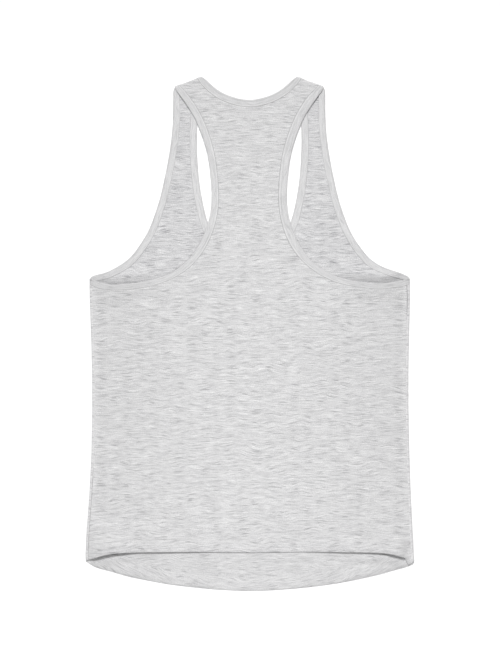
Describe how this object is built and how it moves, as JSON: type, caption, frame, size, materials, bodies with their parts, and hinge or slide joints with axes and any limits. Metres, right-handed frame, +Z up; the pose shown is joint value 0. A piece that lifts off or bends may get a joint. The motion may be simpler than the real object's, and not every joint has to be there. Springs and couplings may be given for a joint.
{
  "type": "racerback tank top",
  "caption": "Sleeveless jersey top laid flat with its back up: narrow racer back, deep scooped front, bound neck and armholes, curved front hem.",
  "frame": {"origin": "centre of the bounding box in plan, on the surface that the garment lies on", "axes": "+Y along the garment from hem to shoulders, +X across it towards the wearer's right side, +Z up, away from the surface, with the back of the garment uppermost"},
  "size_m": [0.4318, 0.6786, 0.0056],
  "materials": {
    "jersey_front": "light grey heather jersey, matt",
    "jersey_back": "light grey heather jersey, matt",
    "jersey_neck": "light grey heather jersey, matt",
    "jersey_arm_left": "light grey heather jersey, matt",
    "jersey_arm_right": "light grey heather jersey, matt"
  },
  "bodies": {
    "root": {"front_panel": "jersey_front", "back_panel": "jersey_back", "neck_binding": "jersey_neck", "armhole_binding_left": "jersey_arm_left", "armhole_binding_right": "jersey_arm_right"}
  },
  "joints": []
}
